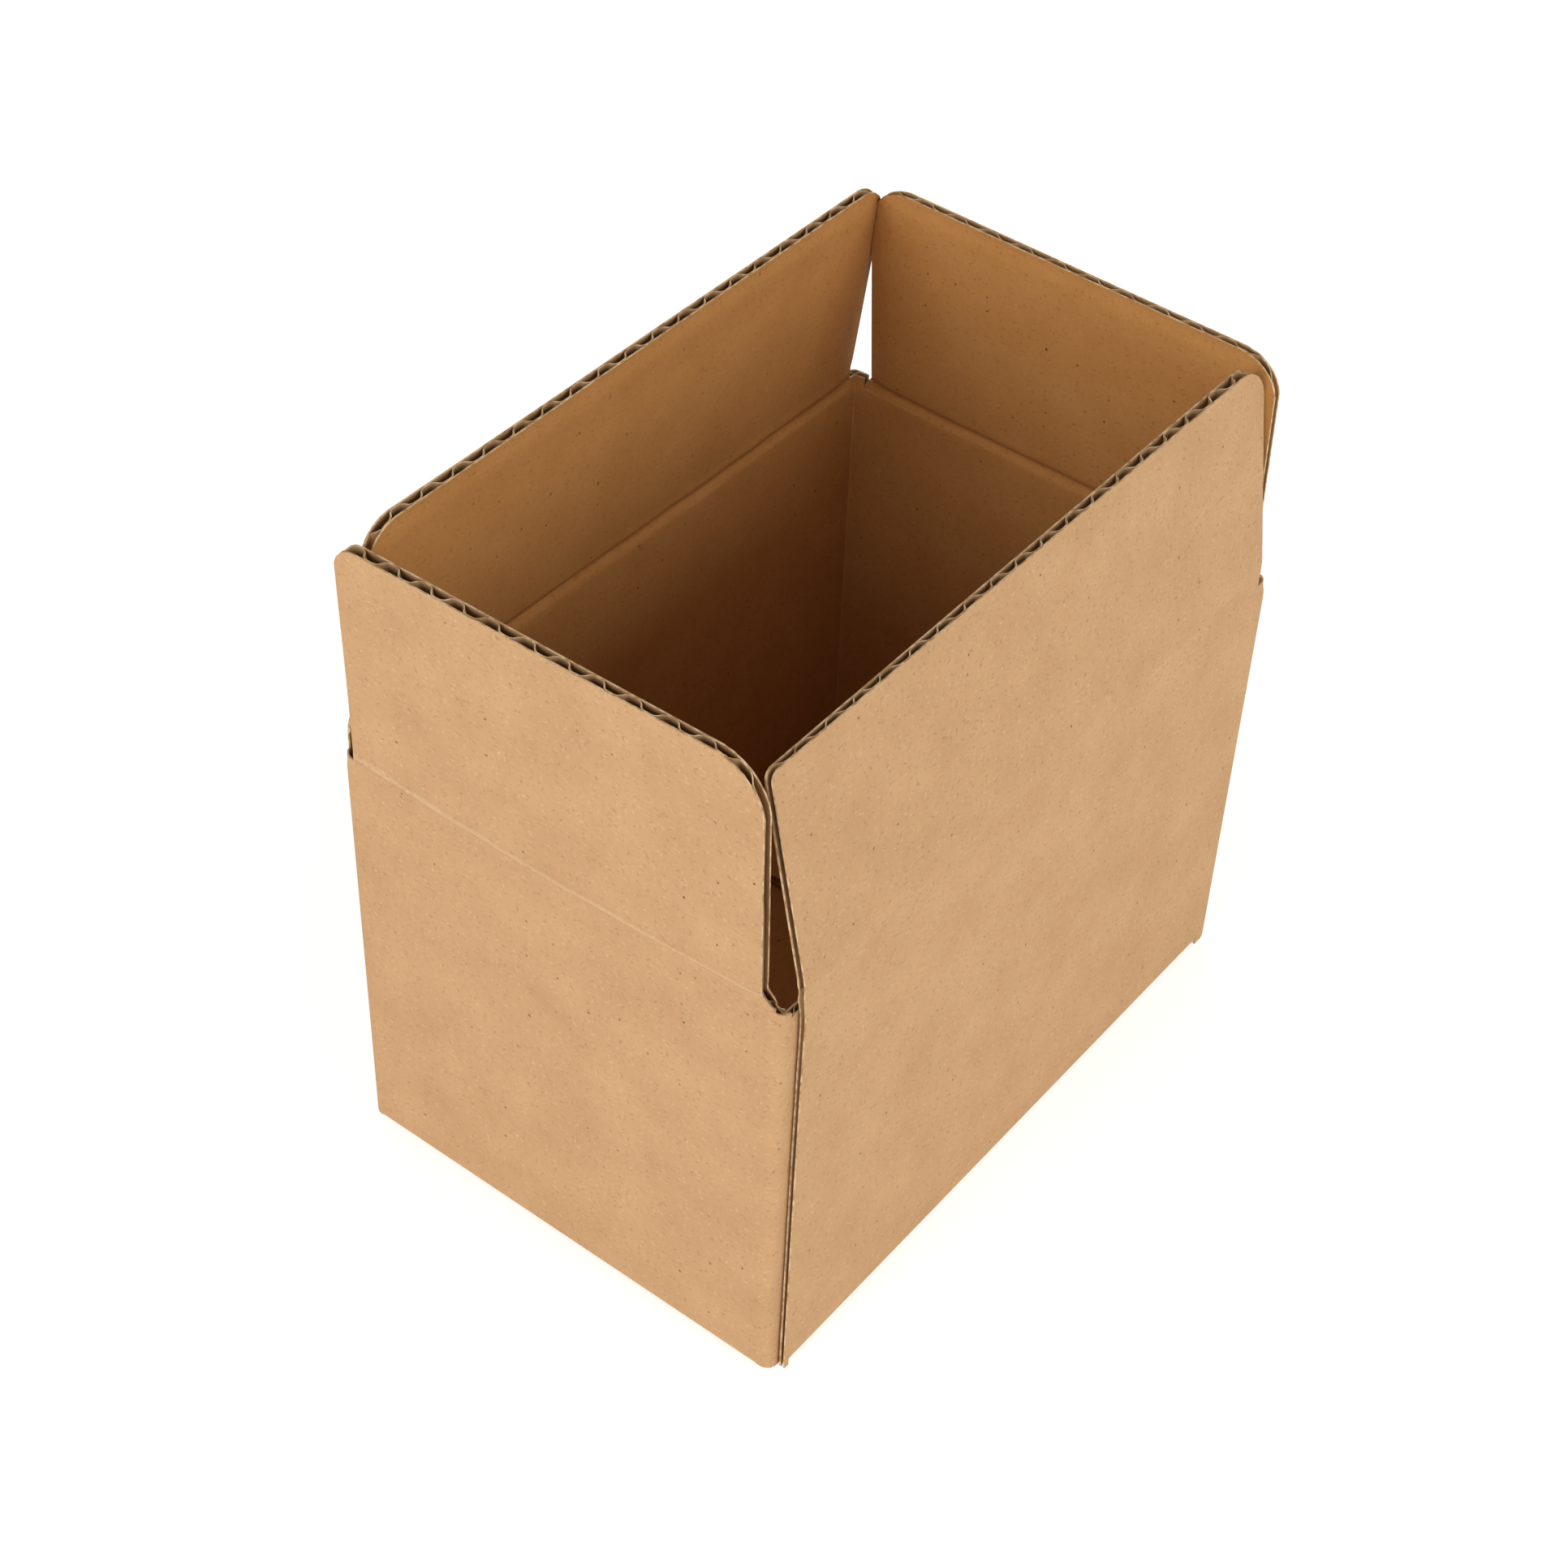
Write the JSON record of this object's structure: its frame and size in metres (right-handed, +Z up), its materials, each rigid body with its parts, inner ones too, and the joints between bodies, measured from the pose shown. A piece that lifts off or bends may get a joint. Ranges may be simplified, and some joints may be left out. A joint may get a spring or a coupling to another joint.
{
  "type": "corrugated shipping box",
  "caption": "Small open carton of single-wall corrugated board, folded from a scored and slotted blank, with round-cornered flaps standing up round the opening and shut flaps below.",
  "frame": {"origin": "centre of the box's foot, on the floor it stands on", "axes": "+X along the long walls, +Y along the short walls, +Z up through the open top"},
  "size_m": [0.1602, 0.1072, 0.1593],
  "materials": {
    "kraft_board": "uncoated brown kraft liner, matt, with fine fibre flecks"
  },
  "bodies": {
    "body": {"box_body": "kraft_board"},
    "front": {"front_flap": "kraft_board"},
    "rear": {"rear_flap": "kraft_board"},
    "left": {"left_flap": "kraft_board"},
    "right": {"right_flap": "kraft_board"},
    "front_bottom": {"front_bottom_flap": "kraft_board"},
    "rear_bottom": {"rear_bottom_flap": "kraft_board"}
  },
  "joints": [
    {"name": "front_fold", "type": "hinge", "parent": "body", "child": "front", "pos_m": [0, -0.05375, 0.1084], "axis": [-1, 0, 0], "range_deg": [-177, 83]},
    {"name": "rear_fold", "type": "hinge", "parent": "body", "child": "rear", "pos_m": [0, 0.05375, 0.1084], "axis": [1, 0, 0], "range_deg": [-177, 83]},
    {"name": "left_fold", "type": "hinge", "parent": "body", "child": "left", "pos_m": [-0.07975, 0, 0.1045], "axis": [0, 1, 0], "range_deg": [-169, 91]},
    {"name": "right_fold", "type": "hinge", "parent": "body", "child": "right", "pos_m": [0.07975, 0, 0.1045], "axis": [0, -1, 0], "range_deg": [-173, 87]},
    {"name": "front_bottom_fold", "type": "hinge", "parent": "body", "child": "front_bottom", "pos_m": [0, -0.05375, 0.00015], "axis": [-1, 0, 0], "range_deg": [0, 260]},
    {"name": "rear_bottom_fold", "type": "hinge", "parent": "body", "child": "rear_bottom", "pos_m": [0, 0.05375, 0.00015], "axis": [1, 0, 0], "range_deg": [0, 260]}
  ]
}
